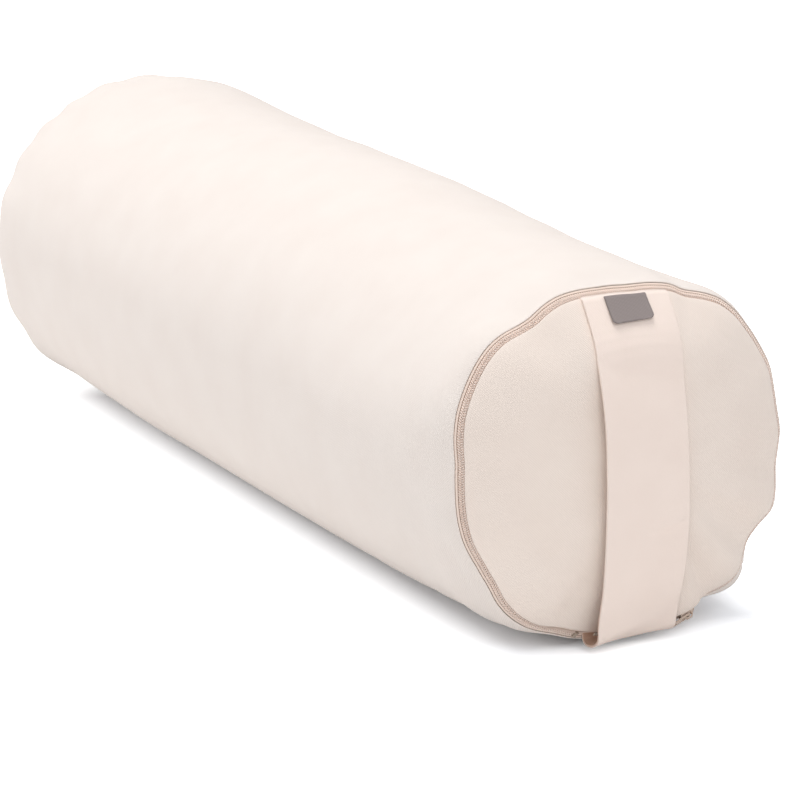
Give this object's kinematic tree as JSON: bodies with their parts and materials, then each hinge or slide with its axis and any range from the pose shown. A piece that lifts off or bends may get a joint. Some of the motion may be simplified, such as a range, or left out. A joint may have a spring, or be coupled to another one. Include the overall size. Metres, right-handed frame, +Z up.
{
  "type": "round yoga bolster",
  "caption": "Round yoga bolster: a filled cushion in a cotton cover with domed, puckered ends, a zip round one end seam and a flat carry strap over that end.",
  "frame": {"origin": "centre of the bounding box's bottom face, on the floor that the bolster lies on", "axes": "+X along the bolster towards its zipped and strapped end, +Y across it to the left when looking along +X, +Z up"},
  "size_m": [0.6778, 0.21, 0.1979],
  "materials": {
    "cover_cotton": "matte cotton twill",
    "end_cotton": "matte cotton twill",
    "strap_webbing": "matte woven cotton",
    "label_weave": "matte woven",
    "zip_tape": "matte woven",
    "zip_coil": "satin",
    "zip_metal": "satin lacquer",
    "stop_metal": "satin",
    "tab_cotton": "matte cotton twill",
    "liner_cotton": "matte plain weave",
    "liner_tape": "matte woven",
    "liner_coil": "satin",
    "kapok": "matte loose fibre"
  },
  "bodies": {
    "bolster": {"cover_side_panel": "cover_cotton", "cover_front_panel": "end_cotton", "cover_back_panel": "cover_cotton", "carry_strap": "strap_webbing", "zip_tape_outer": "zip_tape", "zip_tape_inner": "zip_tape", "zip_coil_outer": "zip_coil", "zip_coil_inner": "zip_coil", "zip_top_stop_outer": "stop_metal", "zip_top_stop_inner": "stop_metal", "zip_bottom_stop": "stop_metal", "zip_end_tab": "tab_cotton", "liner_side_panel": "liner_cotton", "liner_front_panel": "liner_cotton", "liner_back_panel": "liner_cotton", "liner_zip_tape_lower": "liner_tape", "liner_zip_tape_upper": "liner_tape", "liner_zip_coil_lower": "liner_coil", "liner_zip_coil_upper": "liner_coil", "liner_zip_stop_left": "stop_metal", "liner_zip_stop_right": "stop_metal", "filling": "kapok"},
    "cover_slider": {"zip_slider": "zip_metal"},
    "cover_pull": {"zip_pull": "zip_metal"},
    "label": {"side_label": "label_weave"},
    "inner_slider": {"liner_zip_slider": "zip_metal"},
    "inner_pull": {"liner_zip_pull": "zip_metal"}
  },
  "joints": [
    {"name": "cover_zip", "type": "hinge", "parent": "bolster", "child": "cover_slider", "pos_m": [0.30658, 0, 0.0978], "axis": [0.9986, 0, 0.0523], "range_deg": [0, 315]},
    {"name": "cover_pull_hinge", "type": "hinge", "parent": "cover_slider", "child": "cover_pull", "pos_m": [0.31695, 0.03718, 0.01064], "axis": [0.6721, -0.2763, 0.687], "range_deg": [0, 175]},
    {"name": "label_flap", "type": "hinge", "parent": "bolster", "child": "label", "pos_m": [0.31278, 0, 0.18641], "axis": [0, -1, 0], "range_deg": [0, 80]},
    {"name": "inner_zip", "type": "slide", "parent": "bolster", "child": "inner_slider", "axis": [0, -1, 0], "range_m": [0, 0.0708]},
    {"name": "inner_pull_hinge", "type": "hinge", "parent": "inner_slider", "child": "inner_pull", "pos_m": [0.32115, 0.0354, 0.09856], "axis": [-0.0523, 0, 0.9986], "range_deg": [0, 5]}
  ]
}
